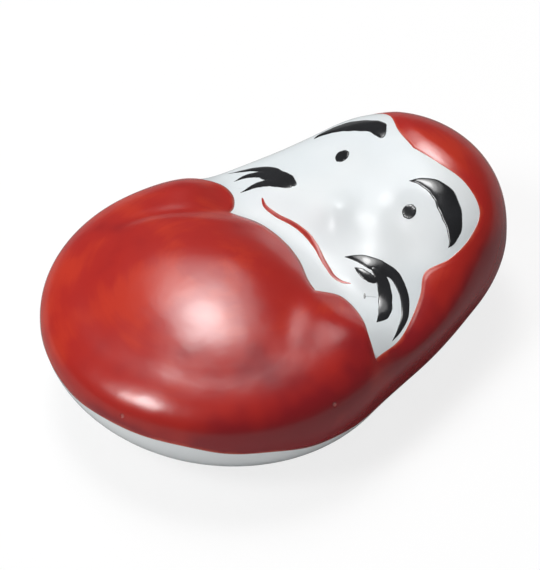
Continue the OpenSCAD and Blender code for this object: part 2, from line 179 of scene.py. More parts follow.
# Red coat: its film, its lower edge at the belly end and along the sides, the waves and brush laps of
# that edge, and the place just right of the belly's tip where it leaves bare glaze
COAT_T = 0.06 * MM
COAT_FEATHER = 0.6 * MM
COAT_SINK = 0.03 * MM
COAT_END_DROP, COAT_SIDE_DROP = 0.6 * MM, 4.5 * MM
COAT_END_TURN = math.radians(58)
EDGE_POWER = 4
WAVE_SHARE, WAVE_COUNT = 0.06, 7
LAP_SHARE, LAP_COUNT, LAP_PHASE = 0.12, 19, 1
BARE_TURN, BARE_REACH, BARE_SHARE = math.radians(-74), math.radians(13), 0.6

# Strokes: how thick the enamel is and how it is domed, how their starts and ends are shaped, how their
# edges waver, and the counts along and across each
STROKE_T = 0.06 * MM
BROW_T = 0.12 * MM
FULL_DOME_HALF = 0.25 * MM
STROKE_LIFT = -0.2 * COAT_SINK
NARROWEST_SHARE = 0.02
SHEAR_SHARE = 0.25
WAVER_SHARE, WAVER_COUNTS = 0.03, (17, 41)
SLOPE_STEP = 0.02 * MM
PLAIN_END, BLUNT_END, ROUND_END = 4, 14, 2
BROW_SLANT, HAIR_SLANT = 1.0, 0.8
STROKE_STEPS, MOUTH_STEPS, STROKE_BANDS = 90, 160, 12

# Counts of columns along each edge of the face, and of rows from the face outwards
HOOD_COLS, SLEEVE_COLS, CHIN_COLS = 88, 32, 40
FACE_RINGS, COAT_RINGS, TUCK_RINGS = 40, 70, 14
SKIRT_RINGS, FOOT_RINGS, HOLLOW_RINGS = 16, 3, 20

# Directions on the outline that the ends of the sleeve's edge look at, how its columns crowd, and how
# fast the hood's step fades along it: at 3 it is gone after a third
CORNER_TURN, NOTCH_TURN, SLEEVE_BEND = math.radians(-12), math.radians(-50), 0.7
HOOD_FADE = 3


def spline(points, t):
    """Catmull-Rom curve through the points: each stretch is the cubic that passes its two ends
    with slopes of half the step between their neighbours. t runs from 0 to 1 over the whole curve."""
    pts = np.asarray(points, float)
    pts = np.vstack([2 * pts[0] - pts[1], pts, 2 * pts[-1] - pts[-2]])
    s = np.clip(t, 0, 1) * (len(pts) - 3)
    i = np.minimum(s.astype(int), len(pts) - 4)
    f = (s - i)[:, None]
    a, b, c, d = pts[i], pts[i + 1], pts[i + 2], pts[i + 3]
    return b + f * ((c - a) + f * ((2 * a - 5 * b + 4 * c - d) + f * (3 * b - 3 * c + d - a))) / 2


def ramp(s):
    """Smooth step from 0 to 1: three times the square less twice the cube."""
    t = np.clip(s, 0, 1)
    return t * t * (3 - 2 * t)


def on_face(share):
    """Place on the plan of a share of the face's half sizes from its middle."""
    return np.asarray(share, float)[..., :2] * FACE_HALF + np.array([0, FACE_Y])


def outline_reach(turn):
    """Distance from the pole to the plan outline: an arc round the belly, an arc round the head,
    the tangent line between them, and a bell-shaped swell on the flanks."""
    fold = np.arctan2(np.sin(turn), np.abs(np.cos(turn)))

    def arc(cy, r):
        rise = POLE_Y - cy
        along = rise * np.sin(turn)
        return np.sqrt(np.maximum(along ** 2 - rise ** 2 + r ** 2, 0)) - along

    across = np.abs(np.cos(turn)) * math.cos(LEAN) + np.sin(turn) * math.sin(LEAN)
    across = np.where(np.abs(across) < TINY, TINY, across)
    flank = (BELLY_R + (BELLY_Y - POLE_Y) * math.sin(LEAN)) / across
    round_head = np.where(fold > HEAD_TURN, arc(HEAD_Y, HEAD_R), flank)
    r = np.where(fold < BELLY_TURN, arc(BELLY_Y, BELLY_R), round_head)
    y = POLE_Y + r * np.sin(turn)
    return r + FLANK_SWELL * np.cos(turn) ** 2 * np.exp(-((y - SWELL_Y) / SWELL_REACH) ** 2)


def outline_point(turn, share):
    """Point of the plan at a share of the outline's distance from the pole."""
    r = outline_reach(turn) * share
    return np.stack([r * np.cos(turn), POLE_Y + r * np.sin(turn)], -1)


def waist(y):
    """Height of the widest outline: an S-curve from the belly's height to the head's."""
    return BELLY_WAIST + (HEAD_WAIST - BELLY_WAIST) / (1 + np.exp((POLE_Y - y) / WAIST_BLEND))


def bell(x, y, centre, reach):
    """Bell curve over the plan, the same on both sides of the middle line."""
    return np.exp(-((np.abs(x) - centre[0]) ** 2 + (y - centre[1]) ** 2) / reach ** 2)


def uneven(x, y, gap):
    """Shallow relief of the crown. A fold runs where the gap between face sheet and belly dome is nought:
    the gap times the bell of its square, with a sign for each side, fading in from the middle line and
    out at the fold's end. Each swelling or dip is a bell curve over the plan."""
    share = ramp(np.abs(x) / FOLD_START - 1) * ramp((y - np.where(x < 0, *FOLD_ENDS)) / FOLD_START)
    relief = np.where(x < 0, *FOLD_DEPTHS) * share * gap * np.exp(-gap ** 2)
    for across, along, rise, reach in SWELLINGS.values():
        away = (x / MM - across) ** 2 + (y / MM - along) ** 2
        relief = relief + rise * MM * np.exp(-away / reach ** 2)
    return relief


def crown(x, y):
    """Height of the crown: the smooth larger one of the face sheet and the belly dome, and its relief.
    The face sheet is a plain level with the saddle, the hood, the sleeves and the face's bumps."""
    sheet = FACE_H - SADDLE_DEPTH * np.exp(-((y - SADDLE_Y) / SADDLE_LEN) ** 2)
    hood = HOOD_RISE - HOOD_FALL * (x / FACE_HALF[0]) ** 2
    sheet = sheet + hood / (1 + np.exp((HOOD_START - y) / HOOD_BLEND))
    sheet = sheet - CHEEK_FALL * (x / FACE_HALF[0]) ** 2 * np.exp(-((y - FACE_Y) / FACE_HALF[1]) ** 2)
    sheet = sheet + SLEEVE_RISE * bell(x, y, on_face(SLEEVE), SLEEVE[2] * FACE_HALF[0])
    for f in FEATURES.values():
        sheet = sheet + NOSE_RISE * f[2] * bell(x, y, on_face(f), f[3] * FACE_HALF[0])
    dome = BELLY_H - BELLY_FALL * ((x / DOME_SIDE) ** 2 + ((y - CREST_Y) / DOME_REACH) ** 2)
    larger = (sheet + dome + np.sqrt((sheet - dome) ** 2 + CREASE ** 2)) / 2
    return larger + uneven(x, y, (sheet - dome) / FOLD_REACH)


def out_share(x, y):
    """How far out a place lies: 0 at the pole, 1 on the widest outline."""
    return np.minimum(np.hypot(x, y - POLE_Y) / outline_reach(np.arctan2(y - POLE_Y, x)), 1)


def top_z(x, y, lift=0.0):
    """Height of the top: from the widest outline up to the crown along a superellipse."""
    side = (1 - out_share(x, y) ** DOME_POWER) ** (1 / DOME_POWER)
    return waist(y) + (crown(x, y) + lift - waist(y)) * side


def skirt_point(turn, drop):
    """Point of the side below the widest outline: a quarter superellipse in to the foot."""
    share = FOOT_SHARE + (1 - FOOT_SHARE) * np.maximum(np.cos(drop), 0) ** (2 / SKIRT_POWER)
    p = outline_point(turn, share)
    z = waist(outline_point(turn, 1)[..., 1]) * (1 - np.sin(drop) ** (2 / SKIRT_POWER))
    return np.concatenate([p, z[..., None]], -1)


def edge_drop(turn):
    """How far down the side the red coat ends: a small drop round the belly end that grows to the
    flanks, with a slow wave and, round the end, the small steps that separate brush strokes leave.
    Just right of the belly's tip it hardly drops, so a rim of bare glaze shows below it."""
    from_end = np.abs(np.arctan2(np.cos(turn), -np.sin(turn)))
    high = np.exp(-(from_end / COAT_END_TURN) ** EDGE_POWER)
    fall = COAT_SIDE_DROP + (COAT_END_DROP - COAT_SIDE_DROP) * high
    laps = LAP_SHARE * np.sin(LAP_COUNT * turn + LAP_PHASE) * high
    fall = fall * (1 + WAVE_SHARE * np.sin(WAVE_COUNT * turn) + laps)
    from_bare = np.arctan2(np.sin(turn - BARE_TURN), np.cos(turn - BARE_TURN))
    fall = fall * (1 - BARE_SHARE * np.exp(-(from_bare / BARE_REACH) ** EDGE_POWER))
    return np.arcsin((fall / waist(outline_point(turn, 1)[..., 1])) ** (SKIRT_POWER / 2))


def half_columns(edges):
    """Columns of one half: edge point, direction on the right half of the outline, hood share."""
    t = np.arange(HOOD_COLS) / HOOD_COLS
    hood = spline(edges[0], t), math.pi / 2 + (CORNER_TURN - math.pi / 2) * t, np.ones(HOOD_COLS)
    t = np.arange(SLEEVE_COLS) / SLEEVE_COLS
    along = CORNER_TURN + (NOTCH_TURN - CORNER_TURN) * t ** SLEEVE_BEND
    sleeve = spline(edges[1], t), along, 1 - ramp(t * HOOD_FADE)
    t = np.arange(CHIN_COLS + 1) / CHIN_COLS
    chin = spline(edges[2], t), NOTCH_TURN - (math.pi / 2 + NOTCH_TURN) * t, np.zeros(CHIN_COLS + 1)
    return [np.concatenate(parts) for parts in zip(hood, sleeve, chin)]


def columns():
    """Edge point, outline direction and hood share of each column: down the right half, up the left."""
    edge, turn, hooded = half_columns(RIGHT_EDGES)
    left_edge, left_turn, left_hooded = half_columns(LEFT_EDGES)
    back = slice(-2, 0, -1)
    return (np.concatenate([edge, left_edge[back]]), np.concatenate([turn, math.pi - left_turn[back]]),
            np.concatenate([hooded, left_hooded[back]]))


def face_rows(edge):
    """Rows from the middle of the face out to its edge, each a share of the edge's distance."""
    share = np.arange(1, FACE_RINGS + 1)[:, None, None] / FACE_RINGS
    p = on_face(edge[None] * share)
    return np.concatenate([p, top_z(p[..., 0], p[..., 1])[..., None]], -1)


def coat_rows(edge, turn, hooded):
    """Rows from the face edge to the widest outline, closer together where the side is steep, with the
    hood's step ramped up from its front edge, then down the side to the edge of the red coat."""
    start = on_face(edge)
    end = outline_point(turn, 1)
    first = np.arcsin(out_share(start[:, 0], start[:, 1]))
    k = np.arange(1, COAT_RINGS + 1)[:, None] / COAT_RINGS
    reach = (np.sin(first + (math.pi / 2 - first) * k) - np.sin(first)) / (1 - np.sin(first))
    p = start + (end - start) * reach[..., None]
    lift = HOOD_STEP * hooded * ramp(np.linalg.norm(p - start, axis=-1) / HOOD_STEP_RUN)
    z = top_z(p[..., 0], p[..., 1], lift)
    z[-1] = waist(p[-1, :, 1])
    upper = np.concatenate([p, z[..., None]], -1)
    k = np.arange(1, TUCK_RINGS + 1)[:, None] / TUCK_RINGS
    return np.concatenate([upper, skirt_point(turn[None], edge_drop(turn) * k)])


def under_rows(turn):
    """Rows from the coat's edge down to the foot, across the foot ring and up into the hollow,
    which is a quarter superellipse from the ring to its middle."""
    d = edge_drop(turn)
    k = np.arange(1, SKIRT_RINGS + 1)[:, None] / SKIRT_RINGS
    side = skirt_point(turn[None], d + (math.pi / 2 - d) * k)
    share = FOOT_SHARE + (RING_SHARE - FOOT_SHARE) * np.arange(1, FOOT_RINGS + 1)[:, None] / FOOT_RINGS
    p = outline_point(turn[None], share)
    ring = np.concatenate([p, np.zeros(p.shape[:-1] + (1,))], -1)
    t = math.pi / 2 * np.arange(1, HOLLOW_RINGS)[:, None] / HOLLOW_RINGS
    p = outline_point(turn[None], RING_SHARE * np.cos(t) ** (2 / HOLLOW_POWER))
    z = np.broadcast_to(HOLLOW_DEPTH * np.sin(t) ** (2 / HOLLOW_POWER), p.shape[:-1])
    return np.concatenate([side, ring, np.concatenate([p, z[..., None]], -1)])


def normals(rows):
    """Outward direction at each point of a ring grid: the step along its row crossed with the step down."""
    n = np.cross(np.roll(rows, -1, 1) - np.roll(rows, 1, 1), np.gradient(rows, axis=0))
    return n / np.linalg.norm(n, axis=-1, keepdims=True)


def band(upper, lower, closed=True):
    """Quads between two neighbouring rows of point numbers."""
    a, b = (upper, lower) if closed else (upper[:-1], lower[:-1])
    c, d = (np.roll(lower, -1), np.roll(upper, -1)) if closed else (lower[1:], upper[1:])
    return np.stack([d, c, b, a], -1)


def grid_quads(first, rows, cols, closed=True):
    """Quads of a whole grid whose points start at the number first."""
    ids = first + np.arange(rows * cols).reshape(rows, cols)
    return np.concatenate([band(ids[k], ids[k + 1], closed) for k in range(rows - 1)])


def piece(name, points, quads, tris, material, slot, *nodes):
    """A named mesh from whole arrays of points and faces, riding on the body, in place of its nodes."""
    mesh = bpy.data.meshes.new(name)
    mesh.vertices.add(len(points))
    mesh.vertices.foreach_set("co", np.asarray(points, np.float32).ravel())
    corners = np.concatenate([np.asarray(quads, np.int32).ravel(), np.asarray(tris, np.int32).ravel()])
    mesh.loops.add(len(corners))
    mesh.loops.foreach_set("vertex_index", corners)
    starts = np.concatenate([np.arange(len(quads)) * 4, len(quads) * 4 + np.arange(len(tris)) * 3])
    mesh.polygons.add(len(starts))
    mesh.polygons.foreach_set("loop_start", starts.astype(np.int32))
    mesh.update(calc_edges=True)
    mesh.validate()
    mesh.polygons.foreach_set("use_smooth", np.ones(len(mesh.polygons), bool))
    mesh.materials.append(material)
    obj = bpy.data.objects.new(name, mesh)
    bpy.context.scene.collection.objects.link(obj)
    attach(obj, "root")
    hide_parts(*nodes)
    return obj


def keep_values(obj, **values):
    """Keeps a value at each point of a mesh, for its material to read."""
    for name, array in values.items():
        attribute = obj.data.attributes.new(name, "FLOAT", "POINT")
        attribute.data.foreach_set("value", array.astype(np.float32))


def porcelain_body(edge, turn, hooded, material):
    """The whole body as one closed skin: face, crown, side, foot ring and hollow."""
    rows = np.concatenate([face_rows(edge), coat_rows(edge, turn, hooded), under_rows(turn)])
    count, cols = rows.shape[:2]
    points = rows.reshape(-1, 3)
    poles = [[0, FACE_Y, float(top_z(np.array(0.0), np.array(FACE_Y)))], [0, POLE_Y, HOLLOW_DEPTH]]
    top, low = len(points), len(points) + 1
    ring = np.arange(cols)
    last = (count - 1) * cols + ring
    tris = np.concatenate([
        np.stack([np.full(cols, top), ring, np.roll(ring, -1)], -1)[:, ::-1],
        np.stack([np.full(cols, low), np.roll(last, -1), last], -1)[:, ::-1],
    ])
    piece("porcelain_body_glazed", np.concatenate([points, poles]), grid_quads(0, count, cols), tris,
          material, "porcelain", "porcelain_body")


def red_coat(edge, turn, hooded, material):
    """The red enamel: the body's own rows, raised by a film that thins out to both brushed edges."""
    rows = np.concatenate([face_rows(edge)[-1:], coat_rows(edge, turn, hooded)])
    count, cols = rows.shape[:2]
    n = normals(rows)
    steps = np.linalg.norm(np.diff(rows, axis=0), axis=-1)
    along = np.concatenate([np.zeros((1, cols)), np.cumsum(steps, 0)])
    film = COAT_T * ramp(along / COAT_FEATHER) * ramp((along[-1] - along) / COAT_FEATHER)
    upper = rows + n * film[..., None]
    lower = rows - n * COAT_SINK
    points = np.concatenate([upper.reshape(-1, 3), lower.reshape(-1, 3)])
    under = count * cols
    ring = np.arange(cols)
    quads = np.concatenate([
        grid_quads(0, count, cols),
        grid_quads(under, count, cols)[:, ::-1],
        band(under + ring, ring),
        band(under - cols + ring, 2 * under - cols + ring),
    ])
    obj = piece("red_robe_and_hood", points, quads, np.zeros((0, 3), int), material, "red_enamel", "red_coat")
    fade = np.minimum(along, along[-1] - along).ravel()
    keep_values(obj, from_edge=np.concatenate([fade, fade]) / MM)


def top_frame(p):
    """Point on the glazed top over a place of the plan, and its outward direction from the two slopes,
    each the difference over a small step."""
    x, y = p[..., 0], p[..., 1]
    dx = (top_z(x + SLOPE_STEP, y) - top_z(x - SLOPE_STEP, y)) / (2 * SLOPE_STEP)
    dy = (top_z(x, y + SLOPE_STEP) - top_z(x, y - SLOPE_STEP)) / (2 * SLOPE_STEP)
    n = np.stack([-dx, -dy, np.ones_like(dx)], -1)
    return np.concatenate([p, top_z(x, y)[..., None]], -1), n / np.linalg.norm(n, axis=-1, keepdims=True)


def stroke_grid(path, full_w, thick, end_power, slant, steps, seed):
    """Points of one brush stroke: a curve with a width at each point, domed like a half ellipse across,
    rounded at its ends, with edges that waver by a small sum of sines. The slant shears its blunt start."""
    path = np.array([tuple(p) + (1,) * (4 - len(p)) for p in path], float)
    t = (1 - np.cos(np.pi * np.linspace(0, 1, steps + 1))) / 2
    c = spline(np.concatenate([on_face(path), path[:, 2:3] * full_w, path[:, 3:]], 1), t)
    ahead = np.gradient(c[:, :2], axis=0)
    ahead = ahead / np.linalg.norm(ahead, axis=1, keepdims=True)
    side = np.stack([-ahead[:, 1], ahead[:, 0]], -1)
    rounding = np.maximum(1 - np.abs(2 * t - 1) ** end_power, 0) ** 0.5
    half = c[:, 2] / 2 * np.maximum(rounding, NARROWEST_SHARE)
    w = np.linspace(-1, 1, STROKE_BANDS + 1)
    sines = np.sin(WAVER_COUNTS[0] * t + seed) + np.sin(WAVER_COUNTS[1] * t + 2 * seed)
    waver = 1 + WAVER_SHARE * sines[:, None] * np.sign(w)
    shear = slant * np.maximum(1 - t / SHEAR_SHARE, 0)
    p = c[:, None, :2] + side[:, None] * (half[:, None] * w * waver)[..., None]
    p = p - ahead[:, None] * (half * shear)[:, None, None] * w[:, None]
    base, n = top_frame(p)
    dome = np.sqrt(np.maximum(1 - w ** 2, 0)) * np.minimum(1, half / FULL_DOME_HALF)[:, None]
    upper = base + n * (thick * dome + STROKE_LIFT)[..., None]
    cover = np.clip(np.broadcast_to(c[:, 3:], dome.shape), 0, 1)
    return upper, base - n * COAT_SINK, cover, np.broadcast_to(np.abs(w), dome.shape)


def stroke(name, paths, full_w, material, slot, node, thick=STROKE_T, end_power=PLAIN_END, slant=0.0,
           steps=STROKE_STEPS, seed=1):
    """One piece of one or more brush strokes, each a closed skin. Its material reads two attributes:
    how much enamel covers a point, which is also lowered where a highlight is painted, and how near a side
    of the stroke it is."""
    points, quads, covers, sides, first = [], [], [], [], 0
    for path in paths:
        upper, lower, cover, side = stroke_grid(path, full_w, thick, end_power, slant, steps, seed)
        rows, cols = upper.shape[:2]
        under = rows * cols
        ids = first + np.arange(under).reshape(rows, cols)
        quads += [
            grid_quads(first, rows, cols, False)[:, ::-1],
            grid_quads(first + under, rows, cols, False),
            band(ids[:, 0], ids[:, 0] + under, False)[:, ::-1],
            band(ids[:, -1] + under, ids[:, -1], False)[:, ::-1],
            band(ids[0] + under, ids[0], False)[:, ::-1],
            band(ids[-1], ids[-1] + under, False)[:, ::-1],
        ]
        points += [upper.reshape(-1, 3), lower.reshape(-1, 3)]
        covers += [cover.ravel(), cover.ravel()]
        sides += [side.ravel(), side.ravel()]
        first += 2 * under
    no_tris = np.zeros((0, 3), int)
    obj = piece(name, np.concatenate(points), np.concatenate(quads), no_tris, material, slot, node)
    keep_values(obj, cover=np.concatenate(covers), sides=np.concatenate(sides))


class Tree:
    """Short calls for the nodes of one tree: a material's or a shader group's."""

    def __init__(self, tree):
        self.tree = tree

    def node(self, kind, inputs=(), **settings):
        """A node with its settings, each named input given as a plain value or a socket."""
        node = self.tree.nodes.new("ShaderNode" + kind)
        for key, value in settings.items():
            setattr(node, key, value)
        for key, value in dict(inputs).items():
            socket = node.inputs[key]
            if isinstance(value, bpy.types.NodeSocket):
                self.tree.links.new(value, socket)
            else:
                socket.default_value = value
        return node

    def link(self, value, socket):
        """A link from an output to an input."""
        self.tree.links.new(value, socket)

    def attribute(self, name):
        """A value kept at each point of the mesh."""
        return self.node("Attribute", attribute_name=name).outputs["Fac"]

    def place(self):
        """Object coordinates, which are the place on the object in metres."""
        return self.node("TexCoord").outputs["Object"]

    def noise(self, vector, scale, detail=2.0, rough=0.5):
        """Fractal noise from 0 to 1."""
        inputs = {"Vector": vector, "Scale": scale, "Detail": detail, "Roughness": rough}
        return self.node("TexNoise", inputs).outputs["Fac"]

    def remap(self, value, low, high, out_low=0.0, out_high=1.0):
        """A value carried smoothly from one range to another and held at its ends."""
        inputs = {"Value": value, "From Min": low, "From Max": high, "To Min": out_low, "To Max": out_high}
        return self.node("MapRange", inputs, interpolation_type="SMOOTHSTEP").outputs["Result"]

    def math(self, operation, a, b):
        """Two values joined by one operation."""
        return self.node("Math", {0: a, 1: b}, operation=operation).outputs[0]

    def colours(self, share, first, second):
        """Two colours mixed by a share; each is a colour or a socket."""
        node = self.node("Mix", {"Factor": share}, data_type="RGBA")
        for key, value in (("A", first), ("B", second)):
            socket = [s for s in node.inputs if s.name == key and s.type == "RGBA"][0]
            if isinstance(value, tuple):
                socket.default_value = value + (1,)
            else:
                self.link(value, socket)
        return [s for s in node.outputs if s.type == "RGBA"][0]


def shader_group(name, inputs, outputs, fill):
    """A shader node group with named sockets, a vector for the place and a value for each of the others,
    laid out inside by the function fill."""
    group = bpy.data.node_groups.new(name, "ShaderNodeTree")
    for in_out, labels in (("INPUT", inputs), ("OUTPUT", outputs)):
        for label in labels:
            kind = "Vector" if label == "Place" else "Float"
            group.interface.new_socket(label, in_out=in_out, socket_type="NodeSocket" + kind)
    start, end = group.nodes.new("NodeGroupInput"), group.nodes.new("NodeGroupOutput")
    for label, value in fill(Tree(group), start.outputs).items():
        group.links.new(value, end.inputs[label])
    return group


# Scales of the patterns, in periods to the metre
WAVE_SCALE, PEEL_SCALE, PINHOLE_SCALE = 160, 900, 170
STREAK_SCALE, CLOUD_SCALE, FRAY_SCALE = 700, 150, 500
PATCH_SCALE, GRAIN_SCALE, BRUSH_SCALE, LINE_SCALE = 60, 1500, 420, 700

# Pinholes: the share of cells without one, and their inner and outer radius in cells
NO_PINHOLE_SHARE, PINHOLE_RADII = 0.93, (0.02, 0.05)

# Brushwork: how many periods of its noise a streak crosses in each radian round the belly's axis
STREAK_TURN = (1.6, 1.6, 0)

# Thin film: the range of its noise, and the shares of its width at the ends of that range
FRAY_RANGE, FRAY_SHARES = (0.3, 0.7), (0.5, 1.5)


def fill_fired_surface(t, given):
    """Height of a fired glaze: slow waves of the hand, a fine orange peel, and a few pinholes."""
    waves = t.noise(given["Place"], WAVE_SCALE)
    peel = t.noise(given["Place"], PEEL_SCALE, detail=1)
    cells = t.node("TexVoronoi", {"Vector": given["Place"], "Scale": PINHOLE_SCALE}).outputs
    lot = t.node("SeparateColor", {0: cells["Color"]}).outputs[0]
    chosen = t.math("GREATER_THAN", lot, NO_PINHOLE_SHARE)
    pit = t.math("MULTIPLY", t.remap(cells["Distance"], *PINHOLE_RADII, 1, 0), chosen)
    pit = t.math("MULTIPLY", pit, given["Pinholes"])
    height = t.math("ADD", t.math("MULTIPLY", waves, given["Waves"]), t.math("MULTIPLY", peel, given["Peel"]))
    return {"Height": t.math("SUBTRACT", height, pit), "Pit": pit}


def fill_brushwork(t, given):
    """Brushed enamel: streaks that run round the belly's axis, and clouds where the film is thick or thin.
    The streaks are noise over the direction from the axis, slow, and the distance out and down, fast."""
    out = t.node("VectorMath", {0: given["Place"], 1: (0, -BELLY_Y, 0)}, operation="ADD").outputs[0]
    flat = t.node("VectorMath", {0: out, 1: (1, 1, 0)}, operation="MULTIPLY").outputs[0]
    turn = t.node("VectorMath", {0: flat}, operation="NORMALIZE").outputs[0]
    reach = t.node("VectorMath", {0: flat}, operation="LENGTH").outputs["Value"]
    height = t.node("SeparateXYZ", {0: out}).outputs["Z"]
    away = t.math("MULTIPLY", t.math("SUBTRACT", reach, height), given["Fineness"])
    across = t.node("CombineXYZ", {"Z": away}).outputs[0]
    slow = t.node("VectorMath", {0: turn, 1: STREAK_TURN}, operation="MULTIPLY").outputs[0]
    path = t.node("VectorMath", {0: slow, 1: across}, operation="ADD").outputs[0]
    return {"Streak": t.noise(path, 1.0, detail=3, rough=0.6), "Cloud": t.noise(given["Place"], CLOUD_SCALE)}


def fill_thin_film(t, given):
    """How thin an enamel film is: 1 at its edge, falling over the given width, frayed by a fine noise."""
    fray = t.noise(given["Place"], FRAY_SCALE)
    width = t.math("MULTIPLY", given["Width"], t.remap(fray, *FRAY_RANGE, *FRAY_SHARES))
    return {"Thin": t.remap(t.math("DIVIDE", given["From edge"], width), 0, 1, 1, 0)}


def fill_dry_and_sheen(t, given):
    """How dry a stroke is: 0 where its covering, with a share of a noise added, reaches the full value,
    rising to 1 where it falls to the bare value. Where a low covering stands for painted highlight, this
    dryness is painted highlight too."""
    frayed = t.math("ADD", given["Cover"], t.math("MULTIPLY", given["Noise"], given["Fray"]))
    return {"Dry": t.remap(frayed, given["Bare"], given["Full"], 1, 0)}


FIRED = shader_group("fired_surface", ("Place", "Waves", "Peel", "Pinholes"), ("Height", "Pit"),
                     fill_fired_surface)
BRUSHED = shader_group("brushwork", ("Place", "Fineness"), ("Streak", "Cloud"), fill_brushwork)
FILM = shader_group("thin_film", ("Place", "From edge", "Width"), ("Thin",), fill_thin_film)
DRY_AND_SHEEN = shader_group("dry_brush_and_sheen", ("Cover", "Noise", "Fray", "Bare", "Full"), ("Dry",), fill_dry_and_sheen)


def use(t, group, **inputs):
    """A shader group placed in a material with its own values."""
    node = t.node("Group", node_tree=group)
    for key, value in inputs.items():
        socket = node.inputs[key.replace("_", " ")]
        if isinstance(value, bpy.types.NodeSocket):
            t.link(value, socket)
        else:
            socket.default_value = value
    return node.outputs


# Gloss: the index of refraction, the roughness, and the height of the bumps in the surface
GLAZE_IOR, ENAMEL_IOR, THIN_ENAMEL_IOR = 1.27, 1.69, 1.52
GLAZE_ROUGH, CLAY_ROUGH, BLACK_ROUGH, MOUTH_ROUGH = 0.16, 0.75, 0.16, 0.22
RED_ROUGH = (0.24, 0.26)
BUMP_HEIGHT = 0.2 * MM

# Colours
WHITE_COOL, WHITE_WARM, WHITE_PIT = (0.70, 0.745, 0.765), (0.765, 0.79, 0.80), (0.30, 0.29, 0.28)
CLAY_DARK, CLAY_LIGHT = (0.60, 0.57, 0.52), (0.72, 0.70, 0.66)
# The second red is pooled crimson and also painted shade low on the right side
RED_BRIGHT, RED_POOLED_AND_SHADED, RED_DRY = (0.41, 0.017, 0.012), (0.25, 0.008, 0.012), (0.50, 0.030, 0.013)
RED_RIM, RED_LIP, RED_PIT = (0.56, 0.065, 0.028), (0.62, 0.28, 0.24), (0.70, 0.30, 0.26)
# The dry grey of the black enamel is also painted highlight on the right inner hair's faint wisps
BLACK_DEEP, BLACK_THIN, BLACK_DRY_AND_SHEEN = (0.008, 0.008, 0.009), (0.022, 0.023, 0.026), (0.55, 0.58, 0.60)
MOUTH_DEEP, MOUTH_BRIGHT = (0.32, 0.018, 0.016), (0.42, 0.030, 0.022)
MOUTH_SIDE, MOUTH_DRY = (0.58, 0.16, 0.10), (0.68, 0.42, 0.38)

# Where each colour lies: ranges of noises, heights and sides, and shares of the mixes. The coat's rim
# and the lip at its very edge have their widths in millimetres.
PATCH_RANGE = (0.35, 0.65)
WHITE_PIT_SHARE, RED_PIT_SHARE = 0.4, 0.5
RING_RANGE, RING_GRAIN = (0.2 * MM, 0.5 * MM), 0.3 * MM
# Painted shade: the slope, range and shift push the red to crimson low on the right, away from the lamps, and
# to a lighter orange high on the left; the pooled range mixes that with the random clouds
SHADE_SLOPE, SHADE_RANGE, SHADE_SHIFT = 2.5, (-27 * MM, -6 * MM), (-0.15, 0.25)
POOLED_AND_SHADED_RANGE, DRY_RANGE, STREAK_SHARE = (0.4, 0.7), (0.42, 0.25), 0.25
STREAK_ROUGH_RANGE = (0.3, 0.7)
RIM_WIDTH, RIM_SHARE = 0.5, 0.6
LIP_WIDTH, LIP_SHARE = 0.16, 0.5
MOUTH_SIDE_RANGE, MOUTH_SIDE_SHARE = (0.35, 1), 0.8
BLACK_DRY_AND_SHEEN_MIX = {"Fray": 0.5, "Bare": 0.55, "Full": 1.15}
MOUTH_DRYING = {"Fray": 0.3, "Bare": 0.5, "Full": 1.0}


def glazed(name, roughness, colour, ior, **surface):
    """A glazed material: its colour from a function, its gloss plain, its bump from the fired surface.
    Where the roughness is None, the colour's function sets it."""
    material = bpy.data.materials.new(name)
    material.use_nodes = True
    t = Tree(material.node_tree)
    shader = material.node_tree.nodes["Principled BSDF"]
    place = t.place()
    fired = use(t, FIRED, Place=place, **surface)
    t.link(colour(t, place, fired["Pit"], shader), shader.inputs["Base Color"])
    if roughness is not None:
        shader.inputs["Roughness"].default_value = roughness
    shader.inputs["IOR"].default_value = ior
    bumped = t.node("Bump", {"Height": fired["Height"], "Distance": BUMP_HEIGHT, "Strength": 1.0})
    t.link(bumped.outputs["Normal"], shader.inputs["Normal"])
    return material


def porcelain_colour(t, place, pit, shader):
    """Bluish white, a little warmer in patches, with grey specks, and matt bare clay on the foot ring."""
    cloud = t.remap(t.noise(place, PATCH_SCALE), *PATCH_RANGE)
    white = t.colours(cloud, WHITE_COOL, WHITE_WARM)
    white = t.colours(t.math("MULTIPLY", pit, WHITE_PIT_SHARE), white, WHITE_PIT)
    height = t.node("SeparateXYZ", {0: place}).outputs["Z"]
    grain = t.noise(place, GRAIN_SCALE, detail=3)
    bare = t.remap(t.math("ADD", height, t.math("MULTIPLY", grain, RING_GRAIN)), *RING_RANGE, 1, 0)
    t.link(t.remap(bare, 0, 1, GLAZE_ROUGH, CLAY_ROUGH), shader.inputs["Roughness"])
    return t.colours(bare, white, t.colours(grain, CLAY_DARK, CLAY_LIGHT))


